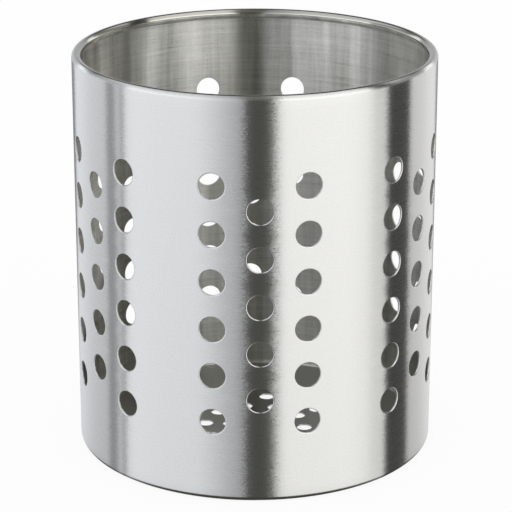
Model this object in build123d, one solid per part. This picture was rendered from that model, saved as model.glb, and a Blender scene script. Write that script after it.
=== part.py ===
from build123d import *
from math import acos, cos, degrees, floor, radians, sin
import os

# A free-standing cutlery holder: a can of perforated steel sheet with a rolled rim and a drained base.
# Millimetres, +Z up. The origin is the middle of the face it stands on, and one group of holes faces -Y.

# Can
outer_diameter = 120.0
height = 135.0
wall_sheet = 0.6

# Rolled rim: the wall's upper edge, curled inwards into a hollow bead
bead_diameter = 3.3
curl_gap = 0.6  # between the end of the curl and the inside of the wall

# Lower edge: the wall turned inwards as a flat flange
foot_radius = 2.0  # outside of the bend
flange_flat = 4.0  # flat width inside the bend

# Holes in the wall: groups of three columns, the middle one half a row out of step with its neighbours
hole_diameter = 8.4
group_count = 6
column_pitch = 15.32  # along the outside of the wall
row_pitch = 15.7
lowest_row = 27.5  # height of the lowest hole centres
plain_band = 29.0  # from the highest hole centres to the top of the rim, at least

# Base plate: a disc that lies on the flange, with rings of drain holes round a central one
base_sheet = 0.6
base_clearance = 0.3  # between the edge of the plate and the start of the bend
drain_diameter = 5.2
drain_rings = 3  # fewer if the plate is too small for them
drain_ring_pitch = 8.6
drain_ring_share = 5  # holes in the first ring, and how many each ring has more than the last
drain_margin = 3.0  # steel between the outermost drain holes and the flange, at least
drain_start = 22.0  # degrees
drain_twist = 3.0  # degrees that each ring is turned from the one inside it

# Upright weld that closes the rolled sheet, between two groups of holes
seam_width = 1.0
seam_bead = 0.15  # how far it stands proud inside
seam_azimuth = 90.0  # degrees from -Y, towards +X

# Spot welds that hold the plate to the flange
spot_count = 12
spot_margin = 0.4  # plain sheet each side of a spot, across the flange
spot_dent = 0.08  # depth of the mark that each weld leaves in both sheets

# Worked out from the above
outer_radius = outer_diameter / 2
inner_radius = outer_radius - wall_sheet
bead_radius = bead_diameter / 2
bead_height = height - bead_radius
bend_radius = outer_radius - foot_radius
flange_radius = bend_radius - flange_flat
base_radius = bend_radius - base_clearance
base_top = wall_sheet + base_sheet
spot_ring = (flange_radius + base_radius) / 2
spot_diameter = base_radius - flange_radius - 2 * spot_margin
cut_spare = 1.0  # how far a cutter runs past the faces it cuts


def outward(azimuth, z=0.0):
    # Workplane on the can's axis at height z, facing outwards at an azimuth counted from -Y towards +X
    turn = radians(azimuth)
    return Plane(origin=(0, 0, z), x_dir=(cos(turn), sin(turn), 0), z_dir=(sin(turn), -cos(turn), 0))


def radial_pins(places, diameter):
    # Cutters through the wall at (azimuth, height) places
    reach = wall_sheet + 2 * cut_spare
    pin = Pos(0, 0, inner_radius - cut_spare) * Cylinder(
        diameter / 2, reach, align=(Align.CENTER, Align.CENTER, Align.MIN)
    )
    return [outward(azimuth, z) * pin for azimuth, z in places]


def wall_hole_places():
    rows = 1 + floor((height - plain_band - lowest_row) / row_pitch + 1e-6)
    column_turn = degrees(column_pitch / outer_radius)
    places = []
    for group in range(group_count):
        for column in (-1, 0, 1):
            azimuth = group * 360 / group_count + column * column_turn
            step = 0.5 if column == 0 else 0.0
            count = rows - 1 if column == 0 else rows
            places += [(azimuth, lowest_row + (row + step) * row_pitch) for row in range(count)]
    return places


def sheet_profile():
    # Section of the side sheet: flange, bend, upright and the curl of the rim
    bead_middle = (outer_radius - bead_radius, bead_height)
    bend_middle = (bend_radius, foot_radius)
    curl_radius = bead_radius - wall_sheet
    curl_turn = 360 - degrees(acos(1 - (wall_sheet + curl_gap) / bead_radius))
    end = radians(curl_turn)
    curl_end = [
        (bead_middle[0] + radius * cos(end), bead_middle[1] + radius * sin(end))
        for radius in (bead_radius, curl_radius)
    ]
    return make_face(
        [
            Line((outer_radius, foot_radius), (outer_radius, bead_height)),
            CenterArc(bead_middle, bead_radius, 0, curl_turn),
            Line(*curl_end),
            CenterArc(bead_middle, curl_radius, 0, curl_turn),
            Line((inner_radius, bead_height), (inner_radius, foot_radius)),
            CenterArc(bend_middle, foot_radius - wall_sheet, -90, 90),
            Line((bend_radius, wall_sheet), (flange_radius, wall_sheet)),
            Line((flange_radius, wall_sheet), (flange_radius, 0)),
            Line((flange_radius, 0), (bend_radius, 0)),
            CenterArc(bend_middle, foot_radius, -90, 90),
        ]
    )


def seam_slot(depth):
    # Upright bar across the wall at the seam, reaching the given depth in from the outside
    bar = Box(
        seam_width,
        bead_height - foot_radius,
        depth + cut_spare,
        align=(Align.CENTER, Align.MIN, Align.MAX),
    )
    return outward(seam_azimuth, foot_radius) * Pos(0, 0, outer_radius + cut_spare) * bar


def spot_pins(low, high):
    pin = Pos(spot_ring, 0, low) * Cylinder(
        spot_diameter / 2, high - low, align=(Align.CENTER, Align.CENTER, Align.MIN)
    )
    return [Rot(0, 0, (spot + 0.5) * 360 / spot_count) * pin for spot in range(spot_count)]


def make_side_wall():
    sheet = revolve(Plane.XZ * sheet_profile(), Axis.Z)
    cutters = radial_pins(wall_hole_places(), hole_diameter)
    cutters.append(seam_slot(wall_sheet + seam_bead))
    cutters += spot_pins(-cut_spare, wall_sheet + cut_spare)
    return sheet - cutters


def make_seam_weld():
    inside = inner_radius - seam_bead
    ring = Cylinder(outer_radius, height) - Cylinder(inside, height)
    ring = Pos(0, 0, height / 2) * ring
    return ring & seam_slot(wall_sheet + seam_bead + cut_spare)


def drain_pins():
    pin = Pos(0, 0, wall_sheet - cut_spare) * Cylinder(
        drain_diameter / 2, base_sheet + 2 * cut_spare, align=(Align.CENTER, Align.CENTER, Align.MIN)
    )
    room = floor((flange_radius - drain_margin - drain_diameter / 2) / drain_ring_pitch)
    pins = [pin]
    for ring in range(1, min(drain_rings, room) + 1):
        count = drain_ring_share * ring
        start = drain_start + drain_twist * ring
        for hole in range(count):
            pins.append(Rot(0, 0, start + hole * 360 / count) * Pos(drain_ring_pitch * ring, 0, 0) * pin)
    return pins


def make_base_plate():
    disc = Pos(0, 0, wall_sheet) * Cylinder(
        base_radius, base_sheet, align=(Align.CENTER, Align.CENTER, Align.MIN)
    )
    return disc - drain_pins() - spot_pins(wall_sheet - cut_spare, base_top + cut_spare)


def make_spot_welds():
    return Compound(children=spot_pins(spot_dent, base_top - spot_dent))


parts = {
    "side_wall": make_side_wall(),
    "base_plate": make_base_plate(),
    "seam_weld": make_seam_weld(),
    "base_spot_welds": make_spot_welds(),
}

os.makedirs("parts", exist_ok=True)
for name, shape in parts.items():
    export_step(shape, f"parts/{name}.step")
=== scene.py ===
import math

import bpy
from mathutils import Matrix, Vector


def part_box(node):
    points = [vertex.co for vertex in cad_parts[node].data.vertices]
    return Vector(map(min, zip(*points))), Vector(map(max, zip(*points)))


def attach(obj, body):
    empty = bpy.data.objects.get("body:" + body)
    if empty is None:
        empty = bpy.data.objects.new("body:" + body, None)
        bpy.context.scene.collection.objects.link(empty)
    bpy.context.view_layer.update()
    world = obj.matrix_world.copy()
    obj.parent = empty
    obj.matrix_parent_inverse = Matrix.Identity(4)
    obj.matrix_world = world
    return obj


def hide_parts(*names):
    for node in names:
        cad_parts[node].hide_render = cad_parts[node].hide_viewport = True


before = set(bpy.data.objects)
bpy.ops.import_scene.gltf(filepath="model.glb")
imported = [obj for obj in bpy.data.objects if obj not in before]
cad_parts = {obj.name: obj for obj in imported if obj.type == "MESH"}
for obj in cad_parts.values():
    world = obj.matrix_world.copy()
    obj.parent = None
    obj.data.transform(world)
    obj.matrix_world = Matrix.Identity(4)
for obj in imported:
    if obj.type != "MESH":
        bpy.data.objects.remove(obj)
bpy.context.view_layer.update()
scene = bpy.context.scene
mm = 0.001
_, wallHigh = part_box("side_wall")
plateLow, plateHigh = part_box("base_plate")
seamLow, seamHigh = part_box("seam_weld")
spotLow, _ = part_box("base_spot_welds")
print("frame:", ", ".join(sorted(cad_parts)))


# Small helpers for node trees

def plug(tree, value, socket):
    if isinstance(value, bpy.types.NodeSocket):
        tree.links.new(value, socket)
    else:
        socket.default_value = value


def addNode(tree, kind, inputs=None, **settings):
    made = tree.nodes.new(kind)
    for name, value in settings.items():
        setattr(made, name, value)
    for key, value in (inputs or {}).items():
        plug(tree, value, made.inputs[key])
    return made


def calc(tree, operation, *values):
    made = addNode(tree, "ShaderNodeMath", dict(enumerate(values)), operation=operation)
    return made.outputs[0]


def vectorCalc(tree, operation, *values):
    made = addNode(tree, "ShaderNodeVectorMath", dict(enumerate(values)), operation=operation)
    return made.outputs["Value" if operation == "DOT_PRODUCT" else "Vector"]


def scaled(tree, value, share):
    made = addNode(tree, "ShaderNodeVectorMath", {0: value, "Scale": share}, operation="SCALE")
    return made.outputs[0]


def vector(tree, x=0.0, y=0.0, z=0.0):
    return addNode(tree, "ShaderNodeCombineXYZ", {0: x, 1: y, 2: z}).outputs[0]


def split(tree, value):
    return addNode(tree, "ShaderNodeSeparateXYZ", {0: value}).outputs


def ease(tree, value, low, high, first=0.0, last=1.0):  # smooth step from first to last
    inputs = {"Value": value, "From Min": low, "From Max": high, "To Min": first, "To Max": last}
    return addNode(tree, "ShaderNodeMapRange", inputs, interpolation_type="SMOOTHSTEP").outputs[0]


def blended(tree, share, first, last):  # colours as vectors
    made = addNode(tree, "ShaderNodeMix", {0: share, 4: first, 5: last}, data_type="VECTOR")
    return made.outputs[1]


# Helpers for Geometry Nodes

def newTree(name, **inputs):
    tree = bpy.data.node_groups.new(name, "GeometryNodeTree")
    tree.interface.new_socket("Geometry", in_out="OUTPUT", socket_type="NodeSocketGeometry")
    for label, kind in inputs.items():
        tree.interface.new_socket(label, in_out="INPUT", socket_type="NodeSocket" + kind)
    given = tree.nodes.new("NodeGroupInput").outputs
    made = tree.nodes.new("NodeGroupOutput").inputs[0]
    return tree, given, made


def geo(tree, kind, inputs=None, **settings):
    return addNode(tree, "GeometryNode" + kind, inputs, **settings).outputs[0]


def moved(tree, geometry, place):
    return geo(tree, "Transform", {"Geometry": geometry, "Translation": place})


def placed(tree, points, shape):
    return geo(tree, "InstanceOnPoints", {"Points": points, "Instance": shape})


def template(tree, source):  # the mesh of a template object
    info = addNode(tree, "GeometryNodeObjectInfo", {"Object": source})
    return info.outputs["Geometry"]


def joined(tree, *parts):
    join = tree.nodes.new("GeometryNodeJoinGeometry")
    for part in parts:
        tree.links.new(part, join.inputs[0])
    return join.outputs[0]


def realized(tree, geometry):
    return geo(tree, "RealizeInstances", {"Geometry": geometry})


def welded(tree, geometry, distance=0.005 * mm):
    return geo(tree, "MergeByDistance", {"Geometry": geometry, "Distance": distance})


def meshObject(name, points, faces):
    mesh = bpy.data.meshes.new(name)
    mesh.from_pydata(points, [], faces)
    thing = bpy.data.objects.new(name, mesh)
    scene.collection.objects.link(thing)
    return thing


def runTree(pieceName, tree, **values):  # the tree's result as a plain mesh object
    piece = meshObject(pieceName, [], [])
    modifier = piece.modifiers.new("shape", "NODES")
    modifier.node_group = tree
    for item in tree.interface.items_tree:
        if item.in_out == "INPUT":
            modifier[item.identifier] = values[item.name]
    depsgraph = bpy.context.evaluated_depsgraph_get()
    mesh = bpy.data.meshes.new_from_object(piece.evaluated_get(depsgraph), depsgraph=depsgraph)
    piece.modifiers.remove(modifier)
    piece.data = mesh
    mesh.name = pieceName
    for value in values.values():  # the templates have served
        if isinstance(value, bpy.types.Object):
            bpy.data.objects.remove(value)
    print(pieceName, "-", len(mesh.polygons), "faces")
    return piece


def ringFaces(rings, count):  # quads between closed rings of the same count
    faces = []
    for ring in range(rings - 1):
        near = ring * count
        for k in range(count):
            nextK = (k + 1) % count
            faces.append((near + k, near + nextK, near + count + nextK, near + count + k))
    return faces


def arc(centre, radius, first, last, steps):  # points of an arc in a plane, angles in degrees
    points = []
    for k in range(steps + 1):
        angle = math.radians(first + (last - first) * k / steps)
        points.append((centre[0] + radius * math.cos(angle), centre[1] + radius * math.sin(angle)))
    return points


def turned(name, profile, steps):  # a profile of (radius, height) points, turned round the z axis
    points = []
    for radius, height in profile:
        for k in range(steps):
            angle = 2 * math.pi * k / steps
            points.append((radius * math.cos(angle), radius * math.sin(angle), height))
    return meshObject(name, points, ringFaces(len(profile), steps))


# Finishes

grain = {
    # how often the marks that don't follow the brushing repeat, per metre; the bands also darken and lighten
    # the inside's colour, partly as painted reflection
    "speckle": (1 / (0.4 * mm), 1 / (0.4 * mm), 1 / (0.3 * mm)),
    "bands": (1 / (6 * mm), 1 / (6 * mm), 1 / (90 * mm)),
    # scale and detail of each noise, and the roughness of all
    "coarseNoise": (1.0, 2.0), "fineNoise": (2.7, 3.0), "broadNoise": (0.31, 2.0),
    "speckleNoise": (1.0, 2.0), "bandNoise": (1.0, 3.0), "noiseRoughness": 0.6,
    "fineLean": 0.7,  # weight of the fine streaks in the lean
    "speckleShade": 1.5,  # weight of the speckle in the shade
}
grainAmounts = ("Skew", "Ripple", "Speckle", "Bands")


def brushedGrainGroup():
    tree = bpy.data.node_groups.new("brushedGrain", "ShaderNodeTree")
    for label in ("Stretch", "Lay"):
        tree.interface.new_socket(label, in_out="INPUT", socket_type="NodeSocketVector")
    for label in grainAmounts:
        tree.interface.new_socket(label, in_out="INPUT", socket_type="NodeSocketFloat")
    for label, kind in (("Shade", "Float"), ("Band", "Float"), ("Normal", "Vector")):
        tree.interface.new_socket(label, in_out="OUTPUT", socket_type="NodeSocket" + kind)
    given = tree.nodes.new("NodeGroupInput").outputs
    made = tree.nodes.new("NodeGroupOutput").inputs
    place = tree.nodes.new("ShaderNodeTexCoord").outputs["Object"]
    normal = tree.nodes.new("ShaderNodeNewGeometry").outputs["Normal"]

    def noiseOf(stretch, kind):  # noise about zero
        flow = vectorCalc(tree, "MULTIPLY", place, stretch)
        scale, detail = grain[kind]
        inputs = {"Vector": flow, "Scale": scale, "Detail": detail, "Roughness": grain["noiseRoughness"]}
        noise = addNode(tree, "ShaderNodeTexNoise", inputs)
        return calc(tree, "SUBTRACT", noise.outputs[0], 0.5)

    def tilted(base, direction, amount):
        return vectorCalc(tree, "ADD", base, scaled(tree, direction, amount))

    coarse = noiseOf(given["Stretch"], "coarseNoise")
    fine = noiseOf(given["Stretch"], "fineNoise")
    broad = noiseOf(given["Stretch"], "broadNoise")
    speckle = noiseOf(grain["speckle"], "speckleNoise")
    bands = noiseOf(grain["bands"], "bandNoise")

    streaks = calc(tree, "MULTIPLY_ADD", fine, grain["fineLean"], coarse)
    lean = calc(tree, "MULTIPLY", streaks, given["Skew"])
    lean = calc(tree, "MULTIPLY_ADD", speckle, given["Speckle"], lean)
    lean = calc(tree, "MULTIPLY_ADD", bands, given["Bands"], lean)
    leaned = tilted(normal, given["Lay"], lean)
    across = vectorCalc(tree, "CROSS_PRODUCT", normal, given["Lay"])
    rippled = tilted(leaned, across, calc(tree, "MULTIPLY", fine, given["Ripple"]))
    plug(tree, vectorCalc(tree, "NORMALIZE", rippled), made["Normal"])
    shade = calc(tree, "ADD", calc(tree, "ADD", coarse, fine), broad)
    shade = calc(tree, "MULTIPLY_ADD", speckle, grain["speckleShade"], shade)
    plug(tree, shade, made["Shade"])
    plug(tree, bands, made["Band"])
    return tree


grainGroup = brushedGrainGroup()


def roundLay(tree):  # direction of brushing round the can's axis
    place = tree.nodes.new("ShaderNodeTexCoord").outputs["Object"]
    around = vectorCalc(tree, "CROSS_PRODUCT", (0, 0, 1), place)
    return vectorCalc(tree, "NORMALIZE", around)


def steel(name, look):
    material = bpy.data.materials.new(name)
    material.use_nodes = True
    tree = material.node_tree
    shader = tree.nodes["Principled BSDF"]
    shader.inputs["Metallic"].default_value = 1.0
    shader.inputs["Anisotropic"].default_value = look["anisotropic"]
    shader.inputs["Anisotropic Rotation"].default_value = look["spreadTurn"]
    marks = addNode(tree, "ShaderNodeGroup", node_tree=grainGroup)
    longWay, fineWay = 1 / look["streakLength"], 1 / look["streakWidth"]
    if look["lay"] == "round":
        marks.inputs["Stretch"].default_value = (longWay, longWay, fineWay)
        plug(tree, roundLay(tree), marks.inputs["Lay"])
    else:
        marks.inputs["Stretch"].default_value = (longWay, fineWay, longWay)
        marks.inputs["Lay"].default_value = (1, 0, 0)
    for label in grainAmounts:
        marks.inputs[label].default_value = look[label.lower()]
    shade = marks.outputs["Shade"]
    pale = calc(tree, "MULTIPLY_ADD", shade, look["shadeDepth"], 1.0)
    # bands in the colour: brushing bands, and on the inside partly painted reflection of light bands
    pale = calc(tree, "MULTIPLY_ADD", marks.outputs["Band"], look["bandAndReflectionDepth"], pale)
    plug(tree, scaled(tree, look["colour"], pale), shader.inputs["Base Color"])
    rough = calc(tree, "MULTIPLY_ADD", shade, look["roughDepth"], look["roughness"])
    plug(tree, rough, shader.inputs["Roughness"])
    plug(tree, marks.outputs["Normal"], shader.inputs["Normal"])
    return material


wallFinish = {
    "colour": (0.62, 0.617, 0.59), "roughness": 0.28, "roughDepth": 0.03, "shadeDepth": 0.008,
    "anisotropic": 1.0, "spreadTurn": 0.25, "lay": "round",
    "streakLength": 4 * mm, "streakWidth": 0.3 * mm,
    "skew": 0.026, "ripple": 0.02, "speckle": 0.08, "bands": 0.01, "bandAndReflectionDepth": 0.0,
}
innerFinish = {
    "colour": (0.665, 0.66, 0.618), "roughness": 0.31, "roughDepth": 0.08, "shadeDepth": 0.36,
    "anisotropic": 1.0, "spreadTurn": 0.25, "lay": "round",
    "streakLength": 14 * mm, "streakWidth": 0.35 * mm,
    # strong colour bands: partly brushing marks, partly painted reflection bands
    "skew": 0.03, "ripple": 0.10, "speckle": 0.1, "bands": 0.12, "bandAndReflectionDepth": 1.4,
}
rimFinish = {
    "colour": (0.445, 0.438, 0.392), "roughness": 0.14, "roughDepth": 0.05, "shadeDepth": 0.06,
    "anisotropic": 0.3, "spreadTurn": 0.25, "lay": "round",
    "streakLength": 20 * mm, "streakWidth": 0.4 * mm,
    "skew": 0.02, "ripple": 0.04, "speckle": 0.0, "bands": 0.02, "bandAndReflectionDepth": 0.0,
}
baseFinish = {
    # darker colour than the wall's steel: partly the plate's own tone, partly painted shade at the bottom of
    # the can
    "colour": (0.42, 0.417, 0.395), "roughness": 0.34, "roughDepth": 0.10, "shadeDepth": 0.12,
    "anisotropic": 0.6, "spreadTurn": 0.0, "lay": "straight",
    "streakLength": 14 * mm, "streakWidth": 0.4 * mm,
    "skew": 0.04, "ripple": 0.12, "speckle": 0.04, "bands": 0.0, "bandAndReflectionDepth": 0.0,
}
weldFinish = {
    "colour": (0.55, 0.54, 0.51), "roughness": 0.42, "roughDepth": 0.16, "shadeDepth": 0.3,
    "anisotropic": 0.0, "spreadTurn": 0.0, "lay": "round",
    "streakLength": 1.2 * mm, "streakWidth": 0.6 * mm,
    "skew": 0.1, "ripple": 0.1, "speckle": 0.04, "bands": 0.0, "bandAndReflectionDepth": 0.0,
}
brushedWall = steel("brushedWall", wallFinish)
brushedInside = steel("brushedInside", innerFinish)
polishedRim = steel("polishedRim", rimFinish)
brushedBase = steel("brushedBase", baseFinish)
dressedWeld = steel("dressedWeld", weldFinish)
print("finishes made")


# Side wall: a flat punched blank with its rim and foot, rolled round the axis

wall = {
    "sheet": 0.6 * mm,
    "straightSteps": 6,  # mesh steps up the plain wall, below the holes and above them
    "beadDiameter": 3.3 * mm, "curlTurn": 285.0,  # rolled rim, degrees of curl
    "curlSteps": 32, "curlBackSteps": 16,  # mesh steps of the curl's two faces
    "polishTurn": 24.0,  # how far the rim's polish goes over its crest, degrees
    "footRadius": 2.0 * mm, "footSteps": 10, "footBackSteps": 6, "flangeWidth": 4.0 * mm,
    "footPolish": 0.9,  # share of the foot's bend that is polished
    "holeDiameter": 8.4 * mm, "lip": 0.30 * mm, "innerLip": 0.15 * mm, "lipSupport": 0.15 * mm,
    "lipSteps": 4, "innerLipSteps": 3,
    "groups": 6, "groupSteps": 41,  # mesh steps from one group of holes to the next
    "rows": 6, "rowPitch": 15.7 * mm, "lowestRow": 27.5 * mm,
    "cellSteps": 10,  # mesh steps along a side of the square cell round one hole
}
wallRadius = wallHigh.x
wallHeight = wallHigh.z
stepsRound = wall["groups"] * wall["groupSteps"]
stepWidth = 2 * math.pi * wallRadius / stepsRound
cellWidth = stepWidth * wall["cellSteps"]
zoneLow = wall["lowestRow"] - wall["rowPitch"] / 2
zoneHeight = wall["rows"] * wall["rowPitch"]
beadRadius = wall["beadDiameter"] / 2


def holeCell():
    sheet, steps, hole = wall["sheet"], wall["cellSteps"], wall["holeDiameter"] / 2
    lip, innerLip = wall["lip"], wall["innerLip"]
    count = 4 * steps
    stepHeight = wall["rowPitch"] / steps
    halfWide, halfHigh = cellWidth / 2, wall["rowPitch"] / 2
    border = []  # round the cell's edge, from the middle of its right side
    for k in range(count):
        side, along = (k + steps // 2) // steps % 4, (k + steps // 2) % steps - steps // 2
        border.append([
            (halfWide, along * stepHeight), (-along * stepWidth, halfHigh),
            (-halfWide, -along * stepHeight), (along * stepWidth, -halfHigh),
        ][side])

    def circle(radius):
        turn = 2 * math.pi / count
        return [(radius * math.cos(turn * k), radius * math.sin(turn * k)) for k in range(count)]

    def skin(support, depth):  # the flat of the cell, from its edge to the lip
        inside = circle(support)
        middle = [((a[0] + b[0]) / 2, (a[1] + b[1]) / 2) for a, b in zip(border, inside)]
        return [[(x, y, depth) for x, y in ring] for ring in (border, middle, inside)]

    lipArc = arc((hole + lip, -lip), lip, 90, 180, wall["lipSteps"])
    innerArc = arc((hole + innerLip, innerLip - sheet), innerLip, 180, 270, wall["innerLipSteps"])
    rings = skin(hole + lip + wall["lipSupport"], 0.0)
    rings += [[(x, y, depth) for x, y in circle(radius)] for radius, depth in lipArc + innerArc]
    rings += reversed(skin(hole + innerLip + wall["lipSupport"], -sheet))
    points = [point for ring in rings for point in ring]
    return meshObject("holeCell", points, ringFaces(len(rings), count))


def strip(name, profile):  # a profile of (height, depth) points, one mesh step wide
    points = []
    for height, depth in profile:
        points += [(0.0, height, depth), (stepWidth, height, depth)]
    faces = []
    for k in range(len(profile) - 1):
        faces.append((2 * k, 2 * k + 1, 2 * k + 3, 2 * k + 2))
    return meshObject(name, points, faces)


def rimStrip():
    sheet, straight = wall["sheet"], wall["straightSteps"]
    start = zoneLow + zoneHeight
    beadHeight = wallHeight - beadRadius
    turn = math.radians(wall["curlTurn"])

    def curl(radius, steps):
        points = []
        for k in range(steps + 1):
            angle = turn * k / steps
            points.append((beadHeight + radius * math.sin(angle), radius * math.cos(angle) - beadRadius))
        return points

    rise = [start + (beadHeight - start) * k / straight for k in range(straight)]
    outside = [(height, 0.0) for height in rise]
    inside = [(height, -sheet) for height in reversed(rise)]
    curlBack = list(reversed(curl(beadRadius - sheet, wall["curlBackSteps"])))
    return strip("rimStrip", outside + curl(beadRadius, wall["curlSteps"]) + curlBack + inside)


def footStrip():
    sheet, bend, straight = wall["sheet"], wall["footRadius"], wall["straightSteps"]
    inner = bend + wall["flangeWidth"]
    centre = (bend, -bend)
    rise = [bend + (zoneLow - bend) * k / straight for k in range(1, straight + 1)]
    insideWall = [(height, -sheet) for height in reversed(rise)]
    insideBend = arc(centre, bend - sheet, 90, 180, wall["footBackSteps"])
    outsideBend = arc(centre, bend, 180, 90, wall["footSteps"])
    edge = [(sheet, -inner), (0.0, -inner)]
    outsideWall = [(height, 0.0) for height in rise]
    return strip("footStrip", insideWall + insideBend + edge + outsideBend + outsideWall)


def wallTree():
    tree, given, made = newTree("rolledWall", **{
        "Hole Cell": "Object", "Rim Strip": "Object", "Foot Strip": "Object",
        "Groups": "Int", "Rows": "Int", "Row Pitch": "Float", "Lowest Row": "Float",
        "Steps Round": "Int", "Cell Steps": "Int", "Step": "Float", "Sheet": "Float",
        "Radius": "Float", "Rim Start": "Float", "Foot End": "Float", "Polish Reach": "Float",
        "Brushed": "Material", "Inside": "Material", "Polished": "Material",
    })
    pitch, lowest, step, sheet = given["Row Pitch"], given["Lowest Row"], given["Step"], given["Sheet"]
    cell = calc(tree, "MULTIPLY", step, given["Cell Steps"])
    start = calc(tree, "MULTIPLY", cell, -1.5)  # a group is three cells wide, and x = 0 is its middle
    roundLength = calc(tree, "MULTIPLY", step, given["Steps Round"])
    groupWidth = calc(tree, "DIVIDE", roundLength, given["Groups"])
    fewer = calc(tree, "SUBTRACT", given["Rows"], 1)
    halfPitch = calc(tree, "MULTIPLY", pitch, 0.5)

    # hole places of one group: two full columns and a shorter one between them
    tall = calc(tree, "MULTIPLY", fewer, pitch)
    zoneMiddle = calc(tree, "MULTIPLY_ADD", tall, 0.5, lowest)
    pair = geo(tree, "MeshGrid", {
        "Size X": calc(tree, "MULTIPLY", cell, 2.0), "Size Y": tall,
        "Vertices X": 2, "Vertices Y": given["Rows"],
    })
    pair = moved(tree, pair, vector(tree, 0.0, zoneMiddle))
    between = geo(tree, "MeshLine", {
        "Count": fewer, "Start Location": vector(tree, 0.0, calc(tree, "ADD", lowest, halfPitch)),
        "Offset": vector(tree, 0.0, pitch),
    })
    groups = geo(tree, "MeshLine", {"Count": given["Groups"], "Offset": vector(tree, groupWidth)})
    places = realized(tree, placed(tree, groups, joined(tree, pair, between)))
    cells = placed(tree, places, template(tree, given["Hole Cell"]))

    # plain sheet between the cells, outside and inside
    skin = geo(tree, "MeshGrid", {
        "Size X": roundLength, "Size Y": calc(tree, "MULTIPLY", pitch, given["Rows"]),
        "Vertices X": calc(tree, "ADD", given["Steps Round"], 1),
        "Vertices Y": calc(tree, "MULTIPLY_ADD", given["Rows"], given["Cell Steps"], 1),
    })
    roundMiddle = calc(tree, "MULTIPLY_ADD", roundLength, 0.5, start)
    skin = moved(tree, skin, vector(tree, roundMiddle, zoneMiddle))
    x, y, _ = split(tree, geo(tree, "InputPosition"))
    inGroup = calc(tree, "FLOORED_MODULO", calc(tree, "SUBTRACT", x, start), groupWidth)
    column = calc(tree, "FLOOR", calc(tree, "DIVIDE", inGroup, cell))
    offMiddle = calc(tree, "ABSOLUTE", calc(tree, "SUBTRACT", y, zoneMiddle))
    shortTall = calc(tree, "LESS_THAN", offMiddle, calc(tree, "MULTIPLY", fewer, halfPitch))
    inColumn = calc(tree, "LESS_THAN", column, 2.5)  # columns 0, 1 and 2 have holes
    notMiddle = calc(tree, "SUBTRACT", 1, calc(tree, "COMPARE", column, 1.0, 0.1))
    punched = calc(tree, "MULTIPLY", inColumn, calc(tree, "MAXIMUM", shortTall, notMiddle))
    skin = geo(tree, "DeleteGeometry", {"Geometry": skin, "Selection": punched}, domain="FACE")
    under = moved(tree, skin, vector(tree, z=calc(tree, "MULTIPLY", sheet, -1.0)))
    under = geo(tree, "FlipFaces", {"Mesh": under})

    # rim and foot, one strip for each step round
    steps = geo(tree, "MeshLine", {
        "Count": given["Steps Round"], "Start Location": vector(tree, start), "Offset": vector(tree, step),
    })
    rim = placed(tree, steps, template(tree, given["Rim Strip"]))
    foot = placed(tree, steps, template(tree, given["Foot Strip"]))

    # rolled round the axis
    blank = welded(tree, realized(tree, joined(tree, cells, skin, under, rim, foot)))
    flatX, flatY, flatZ = split(tree, geo(tree, "InputPosition"))
    angle = calc(tree, "DIVIDE", flatX, given["Radius"])
    reach = calc(tree, "ADD", flatZ, given["Radius"])
    side = calc(tree, "MULTIPLY", reach, calc(tree, "SINE", angle))
    front = calc(tree, "MULTIPLY", reach, calc(tree, "MULTIPLY", calc(tree, "COSINE", angle), -1.0))
    can = geo(tree, "SetPosition", {"Geometry": blank, "Position": vector(tree, side, front, flatY)})
    can = welded(tree, can)
    can = geo(tree, "SetShadeSmooth", {"Geometry": can})

    # brushed outside and inside, polished over the rim and round the foot's bend
    place = geo(tree, "InputPosition")
    high = split(tree, place)[2]
    level = vectorCalc(tree, "MULTIPLY", place, (1, 1, 0))
    facing = vectorCalc(tree, "DOT_PRODUCT", level, geo(tree, "InputNormal"))
    inward = calc(tree, "LESS_THAN", facing, 0.0)
    outward = calc(tree, "SUBTRACT", 1.0, inward)
    footBend = calc(tree, "MULTIPLY", calc(tree, "LESS_THAN", high, given["Foot End"]), outward)
    overCrest = calc(tree, "LESS_THAN", facing, given["Polish Reach"])
    rimBend = calc(tree, "MULTIPLY", calc(tree, "GREATER_THAN", high, given["Rim Start"]), overCrest)
    bent = calc(tree, "ADD", rimBend, footBend)
    can = geo(tree, "SetMaterial", {"Geometry": can, "Material": given["Brushed"]})
    can = geo(tree, "SetMaterial", {"Geometry": can, "Selection": inward, "Material": given["Inside"]})
    can = geo(tree, "SetMaterial", {"Geometry": can, "Selection": bent, "Material": given["Polished"]})
    plug(tree, can, made)
    return tree


sideWall = runTree("sideWall", wallTree(), **{
    "Hole Cell": holeCell(), "Rim Strip": rimStrip(), "Foot Strip": footStrip(),
    "Groups": wall["groups"], "Rows": wall["rows"], "Row Pitch": wall["rowPitch"],
    "Lowest Row": wall["lowestRow"], "Steps Round": stepsRound, "Cell Steps": wall["cellSteps"],
    "Step": stepWidth, "Sheet": wall["sheet"], "Radius": wallRadius,
    "Rim Start": wallHeight - beadRadius, "Foot End": wall["footPolish"] * wall["footRadius"],
    "Polish Reach": (wallRadius - beadRadius) * math.sin(math.radians(wall["polishTurn"])),
    "Brushed": brushedWall, "Inside": brushedInside, "Polished": polishedRim,
})
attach(sideWall, "root")
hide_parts("side_wall")


# Base plate: a disc with rings of drain holes round a central one, and a hole for each spot weld

plate = {
    "edgeRound": 0.12 * mm, "edgeSteps": 240, "edgeArcSteps": 3,
    "drainDiameter": 5.2 * mm, "holeSteps": 40, "lip": 0.15 * mm, "lipSteps": 3,
    "rings": 3, "ringPitch": 8.6 * mm,
    "ringShare": 5,  # holes in the first ring, and how many more each next one has
    "ringStart": 22.0, "ringTwist": 3.0,  # degrees
    "flatLimit": 0.99,  # faces that lie flatter than this aren't shaded smooth
}
spot = {
    "count": 12, "ring": 55.85 * mm, "diameter": 2.9 * mm, "steps": 24,
    "dent": 0.08 * mm,  # depth of the dish
    "edge": 0.04 * mm, "landing": 0.16 * mm, "dish": 0.4 * mm,  # how far in from the side each one ends
}


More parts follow.
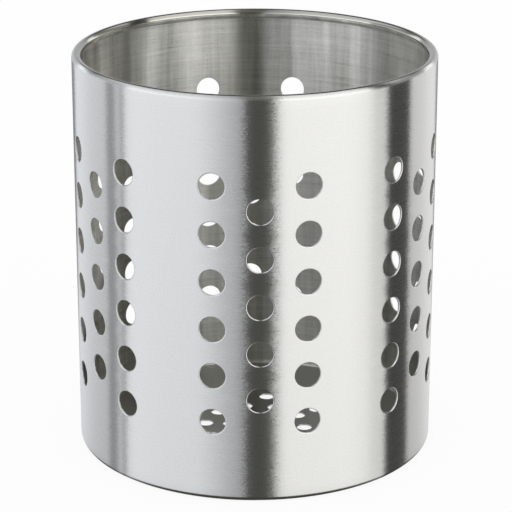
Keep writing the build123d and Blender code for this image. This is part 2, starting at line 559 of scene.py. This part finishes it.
def ringPoints(tree, count, radius, turn):  # turn in degrees
    circle = geo(tree, "MeshCircle", {"Vertices": count, "Radius": radius})
    rotation = vector(tree, z=calc(tree, "RADIANS", turn))
    return geo(tree, "Transform", {"Geometry": circle, "Rotation": rotation})


def spotPlaces(tree, given):  # the first spot is half a step round
    halfStep = calc(tree, "DIVIDE", 180.0, given["Spots"])
    return ringPoints(tree, given["Spots"], given["Spot Ring"], halfStep)


def plateEdge():
    low, high, radius, edge = plateLow.z, plateHigh.z, plateHigh.x, plate["edgeRound"]
    under = arc((radius - edge, low + edge), edge, -90, 0, plate["edgeArcSteps"])
    over = arc((radius - edge, high - edge), edge, 0, 90, plate["edgeArcSteps"])
    return turned("plateEdge", under + over, plate["edgeSteps"])


def drainEyelet():
    low, high, hole, lip = plateLow.z, plateHigh.z, plate["drainDiameter"] / 2, plate["lip"]
    over = arc((hole + lip, high - lip), lip, 90, 180, plate["lipSteps"])
    under = arc((hole + lip, low + lip), lip, 180, 270, plate["lipSteps"])
    return turned("drainEyelet", over + under, plate["holeSteps"])


def plateTree():
    tree, given, made = newTree("drainedPlate", **{
        "Edge": "Object", "Eyelet": "Object", "Radius": "Float", "Edge Steps": "Int",
        "Low": "Float", "High": "Float", "Drain Radius": "Float", "Drain Steps": "Int",
        "Ring Pitch": "Float", "Ring Share": "Int", "Ring Start": "Float", "Ring Twist": "Float",
        "Spots": "Int", "Spot Ring": "Float", "Spot Radius": "Float", "Spot Steps": "Int",
        "Flat Limit": "Float", "Steel": "Material",
    })
    drains = [geo(tree, "MeshLine", {"Count": 1})]
    for ring in range(1, plate["rings"] + 1):
        count = calc(tree, "MULTIPLY", given["Ring Share"], ring)
        radius = calc(tree, "MULTIPLY", given["Ring Pitch"], ring)
        turn = calc(tree, "MULTIPLY_ADD", given["Ring Twist"], ring, given["Ring Start"])
        drains.append(ringPoints(tree, count, radius, turn))
    drains = joined(tree, *drains)
    spots = spotPlaces(tree, given)

    def circle(radius, steps):
        return geo(tree, "CurvePrimitiveCircle", {"Radius": radius, "Resolution": steps})

    outlines = joined(
        tree, circle(given["Radius"], given["Edge Steps"]),
        placed(tree, drains, circle(given["Drain Radius"], given["Drain Steps"])),
        placed(tree, spots, circle(given["Spot Radius"], given["Spot Steps"])),
    )
    face = geo(tree, "FillCurve", {"Curve": realized(tree, outlines)})
    top = moved(tree, face, vector(tree, z=given["High"]))
    under = geo(tree, "FlipFaces", {"Mesh": moved(tree, face, vector(tree, z=given["Low"]))})
    eyelets = placed(tree, drains, template(tree, given["Eyelet"]))
    thick = calc(tree, "SUBTRACT", given["High"], given["Low"])
    socket = geo(tree, "MeshCylinder", {
        "Vertices": given["Spot Steps"], "Radius": given["Spot Radius"], "Depth": thick,
    }, fill_type="NONE")
    socket = geo(tree, "FlipFaces", {"Mesh": socket})
    socket = moved(tree, socket, vector(tree, z=calc(tree, "MULTIPLY_ADD", thick, 0.5, given["Low"])))
    whole = joined(tree, top, under, eyelets, placed(tree, spots, socket), template(tree, given["Edge"]))
    whole = welded(tree, realized(tree, whole))
    flatness = calc(tree, "ABSOLUTE", split(tree, geo(tree, "InputNormal"))[2])
    bent = calc(tree, "LESS_THAN", flatness, given["Flat Limit"])
    whole = geo(tree, "SetShadeSmooth", {"Geometry": whole, "Selection": bent})
    plug(tree, geo(tree, "SetMaterial", {"Geometry": whole, "Material": given["Steel"]}), made)
    return tree


basePlate = runTree("basePlate", plateTree(), **{
    "Edge": plateEdge(), "Eyelet": drainEyelet(), "Radius": plateHigh.x - plate["edgeRound"],
    "Edge Steps": plate["edgeSteps"], "Low": plateLow.z, "High": plateHigh.z,
    "Drain Radius": plate["drainDiameter"] / 2 + plate["lip"], "Drain Steps": plate["holeSteps"],
    "Ring Pitch": plate["ringPitch"], "Ring Share": plate["ringShare"],
    "Ring Start": plate["ringStart"], "Ring Twist": plate["ringTwist"],
    "Spots": spot["count"], "Spot Ring": spot["ring"], "Spot Radius": spot["diameter"] / 2,
    "Spot Steps": spot["steps"], "Flat Limit": plate["flatLimit"], "Steel": brushedBase,
})
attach(basePlate, "root")
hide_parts("base_plate")


# Spot welds: dished nuggets in the plate, over the flange

def spotNugget():
    low, high, radius = spotLow.z, plateHigh.z, spot["diameter"] / 2
    edge, dishHigh = spot["edge"], high - spot["dent"]
    middle = radius / 3
    profile = [
        (0.0, low), (radius, low), (radius, high - edge), (radius - edge, high),
        (radius - spot["landing"], high), (radius - spot["dish"], dishHigh),
        (middle, dishHigh), (0.0, dishHigh),
    ]
    return turned("spotNugget", profile, spot["steps"])


def spotTree():
    tree, given, made = newTree("spotRing", **{
        "Nugget": "Object", "Spots": "Int", "Spot Ring": "Float", "Steel": "Material",
    })
    nuggets = placed(tree, spotPlaces(tree, given), template(tree, given["Nugget"]))
    whole = welded(tree, realized(tree, nuggets))
    whole = geo(tree, "SetShadeSmooth", {"Geometry": whole})
    plug(tree, geo(tree, "SetMaterial", {"Geometry": whole, "Material": given["Steel"]}), made)
    return tree


spotWelds = runTree("spotWelds", spotTree(), **{
    "Nugget": spotNugget(), "Spots": spot["count"], "Spot Ring": spot["ring"], "Steel": dressedWeld,
})
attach(spotWelds, "root")
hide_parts("base_spot_welds")


# Seam: the weld that closes the rolled sheet, dressed outside and rippled inside

seam = {
    "proud": 0.02 * mm, "round": 0.2 * mm, "roundSteps": 4,
    "rippleLength": 0.9 * mm, "ripple": 0.03 * mm, "stepsPerRipple": 6,
}


def seamTree():
    tree, given, made = newTree("weldedSeam", **{
        "Low": "Vector", "High": "Vector", "Proud": "Float", "Round": "Float", "Round Steps": "Int",
        "Ripple Length": "Float", "Ripple": "Float", "Steps Per Ripple": "Int", "Steel": "Material",
    })
    lowX, lowY, lowZ = split(tree, given["Low"])
    highX, highY, highZ = split(tree, given["High"])
    deep = calc(tree, "ADD", calc(tree, "SUBTRACT", highX, lowX), given["Proud"])
    middle = calc(tree, "MULTIPLY_ADD", deep, 0.5, lowX)
    wide = calc(tree, "SUBTRACT", highY, lowY)
    length = calc(tree, "SUBTRACT", highZ, lowZ)
    ripples = calc(tree, "DIVIDE", length, given["Ripple Length"])
    steps = calc(tree, "MULTIPLY", ripples, given["Steps Per Ripple"])
    section = geo(tree, "CurvePrimitiveQuadrilateral", {"Width": deep, "Height": wide})
    section = geo(tree, "FilletCurve", {
        "Curve": section, "Radius": given["Round"], "Count": given["Round Steps"],
    }, mode="POLY")
    path = geo(tree, "CurvePrimitiveLine", {"Start": vector(tree, z=lowZ), "End": vector(tree, z=highZ)})
    path = geo(tree, "ResampleCurve", {"Curve": path, "Count": steps})
    bar = geo(tree, "CurveToMesh", {"Curve": path, "Profile Curve": section, "Fill Caps": True})
    x, _, z = split(tree, geo(tree, "InputPosition"))
    inward = calc(tree, "LESS_THAN", x, 0.0)
    phase = calc(tree, "MULTIPLY", calc(tree, "DIVIDE", z, given["Ripple Length"]), 2 * math.pi)
    wave = calc(tree, "MULTIPLY", calc(tree, "MULTIPLY", calc(tree, "SINE", phase), given["Ripple"]), inward)
    bar = geo(tree, "SetPosition", {"Geometry": bar, "Offset": vector(tree, calc(tree, "ADD", middle, wave))})
    bar = geo(tree, "SetShadeSmooth", {"Geometry": bar})
    plug(tree, geo(tree, "SetMaterial", {"Geometry": bar, "Material": given["Steel"]}), made)
    return tree


seamWeld = runTree("seamWeld", seamTree(), **{
    "Low": tuple(seamLow), "High": tuple(seamHigh), "Proud": seam["proud"], "Round": seam["round"],
    "Round Steps": seam["roundSteps"], "Ripple Length": seam["rippleLength"], "Ripple": seam["ripple"],
    "Steps Per Ripple": seam["stepsPerRipple"], "Steel": dressedWeld,
})
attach(seamWeld, "root")
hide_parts("seam_weld")


# Studio: light by azimuth round the can, floor, camera

everyHeight = (-2, 2)  # reach of a light area from straight below to straight above
studio = {
    "room": 1.06, "viewRise": 19.0,  # plain level, and the degrees that the photo looks down
    "cool": (0.97, 0.995, 1.06), "warm": (1.0, 1.0, 1.01), "olive": (1.0, 1.0, 0.9),
    # light areas: from and to, as the azimuth in degrees on the can that shows them to the front, softness
    # at both ends, level, tint, and reach down and up
    "areas": {
        "leftSide": (-180, 0, (1, 30), 1.06, "cool", everyHeight),
        "leftJoint": (-54.5, -50, (2, 2), 0.42, "cool", (-2, 0.25)),
        "leftEdge": (-47.8, -45.8, (1, 1), 0.4, "cool", (-2, 0.25)),
        "leftBank": (-45.8, -9.5, (1, 23), 1.25, "cool", everyHeight),
        "frontFade": (-9.5, 20, (23, 1), 0.52, "cool", everyHeight),
        "cameraGap": (-4, 6.5, (2, 5), 0.075, "olive", everyHeight),
        "rightBank": (6.5, 45, (5, 1), 1.24, "warm", everyHeight),
        "rightGlow": (6.5, 36, (5, 18), 1.5, "warm", everyHeight),
        "rightFlag": (45, 56.6, (1, 2), 0.02, "warm", (-2, 0.2)),
        "cameraHigh": (-4, 6.2, (2, 4), 0.25, "olive", (0.5, 2)),
        "rightHigh": (40, 67, (2, 2), 0.32, "warm", (0.1, 0.6)),
        "rightHighFlag": (38.5, 47.5, (2, 3), 0.07, "olive", (0.05, 0.95)),
        "rightGap": (62, 70, (2, 2), 0.3, "warm", (0.3, 0.75)),
        "leftHigh": (-67, -44.5, (2, 2), 0.5, "cool", (0.1, 0.6)),
        "leftGap": (-70, -62, (2, 2), 0.3, "cool", (0.3, 0.75)),
    },
    "reachSoft": 0.2,
    "upperGlow": 0.75, "glowStart": (0.05, 0.2), "glowEnd": (0.42, 0.25),  # added above the horizon
    "zenith": 0.85, "zenithStart": (0.5, 0.8),  # kept straight overhead
    # shades over the areas: level, tint, and where each measure of direction goes from none to all of it
    "shades": {
        "behind": (0.66, "cool", {"aside": (75, 78), "z": (-0.15, 0.0)}),
        "upBehind": (0.07, "warm", {"y": (0.35, 0.55), "z": (0.3, 0.42), "sideways": (0.4, 0.2)}),
        "edgeOn": (0.05, "warm", {"aside": (79, 84), "z": (-0.1, -0.25)}),
        "nadir": (0.1, "warm", {"z": (-0.5, -0.85)}),
        "tableShade": (0.16, "warm", {"aside": (42, 58), "z": (-0.3, -0.6)}),
    },
    "floorSize": 6.0, "floorColour": 0.9, "floorGlow": 0.9,
}


def studioWorld():
    world = bpy.data.worlds.new("studioWorld")
    world.use_nodes = True
    scene.world = world
    tree = world.node_tree
    backdrop = tree.nodes["Background"]
    x, y, z = split(tree, tree.nodes.new("ShaderNodeTexCoord").outputs["Generated"])
    towards = calc(tree, "SUBTRACT", math.cos(math.radians(studio["viewRise"])), y)
    azimuth = calc(tree, "DEGREES", calc(tree, "ARCTAN2", x, towards))
    measures = {
        "aside": calc(tree, "ABSOLUTE", azimuth), "sideways": calc(tree, "ABSOLUTE", x), "y": y, "z": z,
    }

    def tinted(level, tint):
        return [level * part for part in studio[tint]]

    def fade(value, none, full):  # 0 at none and 1 at full, upwards or downwards
        if none < full:
            return ease(tree, value, none, full)
        return ease(tree, value, full, none, 1.0, 0.0)

    def between(value, low, high, softLow, softHigh):
        start = fade(value, low - softLow / 2, low + softLow / 2)
        return calc(tree, "MULTIPLY", start, fade(value, high + softHigh / 2, high - softHigh / 2))

    light = tinted(studio["room"], "warm")
    for first, last, soft, level, tint, reach in studio["areas"].values():
        share = between(azimuth, first, last, *soft)
        tall = between(z, *reach, studio["reachSoft"], studio["reachSoft"])
        light = blended(tree, calc(tree, "MULTIPLY", share, tall), light, tinted(level, tint))
    glow = calc(tree, "MULTIPLY", fade(z, *studio["glowStart"]), fade(z, *studio["glowEnd"]))
    light = scaled(tree, light, calc(tree, "MULTIPLY_ADD", glow, studio["upperGlow"], 1.0))
    light = scaled(tree, light, ease(tree, z, *studio["zenithStart"], 1.0, studio["zenith"]))
    for level, tint, limits in studio["shades"].values():
        share = 1.0
        for name, limit in limits.items():
            share = calc(tree, "MULTIPLY", fade(measures[name], *limit), share)
        light = blended(tree, share, light, tinted(level, tint))
    inSteel = tree.nodes.new("ShaderNodeLightPath").outputs["Is Glossy Ray"]
    plug(tree, blended(tree, inSteel, (1, 1, 1), light), backdrop.inputs["Color"])  # white to all else
    backdrop.inputs["Strength"].default_value = 1.0


def floorPlane():
    half = studio["floorSize"] / 2
    corners = [(-half, -half, 0), (half, -half, 0), (half, half, 0), (-half, half, 0)]
    floor = meshObject("floor", corners, [(0, 1, 2, 3)])
    floor.visible_glossy = False
    material = bpy.data.materials.new("paleFloor")
    material.use_nodes = True
    tree = material.node_tree
    tree.nodes.remove(tree.nodes["Principled BSDF"])
    output = tree.nodes["Material Output"]
    shade = studio["floorColour"]
    matt = addNode(tree, "ShaderNodeBsdfDiffuse", {"Color": (shade, shade, shade, 1)})
    glow = addNode(tree, "ShaderNodeEmission", {"Strength": 1.0})
    seen = tree.nodes.new("ShaderNodeLightPath").outputs["Is Camera Ray"]
    glowing = calc(tree, "MULTIPLY", seen, studio["floorGlow"])
    lit = addNode(tree, "ShaderNodeMixShader", {0: glowing, 1: matt.outputs[0], 2: glow.outputs[0]})
    clear = tree.nodes.new("ShaderNodeBsdfTransparent")  # from below
    below = tree.nodes.new("ShaderNodeNewGeometry").outputs["Backfacing"]
    final = addNode(tree, "ShaderNodeMixShader", {0: below, 1: lit.outputs[0], 2: clear.outputs[0]})
    plug(tree, final.outputs[0], output.inputs["Surface"])
    floor.data.materials.append(material)


camera = {
    "distance": 720.0 * mm, "height": 313.7 * mm, "lens": 158.6, "clip": (0.01, 50.0),
    "azimuth": -1.64, "down": 19.19, "turn": -0.031,  # degrees
}


def addCamera():
    data = bpy.data.cameras.new("camera")
    data.lens = camera["lens"]
    data.clip_start, data.clip_end = camera["clip"]
    eye = bpy.data.objects.new("camera", data)
    scene.collection.objects.link(eye)
    heading = math.radians(camera["azimuth"])
    side, back = math.sin(heading) * camera["distance"], -math.cos(heading) * camera["distance"]
    eye.location = (side, back, camera["height"])
    eye.rotation_euler = (math.radians(90 - camera["down"]), 0, heading + math.radians(camera["turn"]))
    scene.camera = eye


studioWorld()
floorPlane()
addCamera()
scene.view_settings.view_transform = "Standard"
print("studio set")
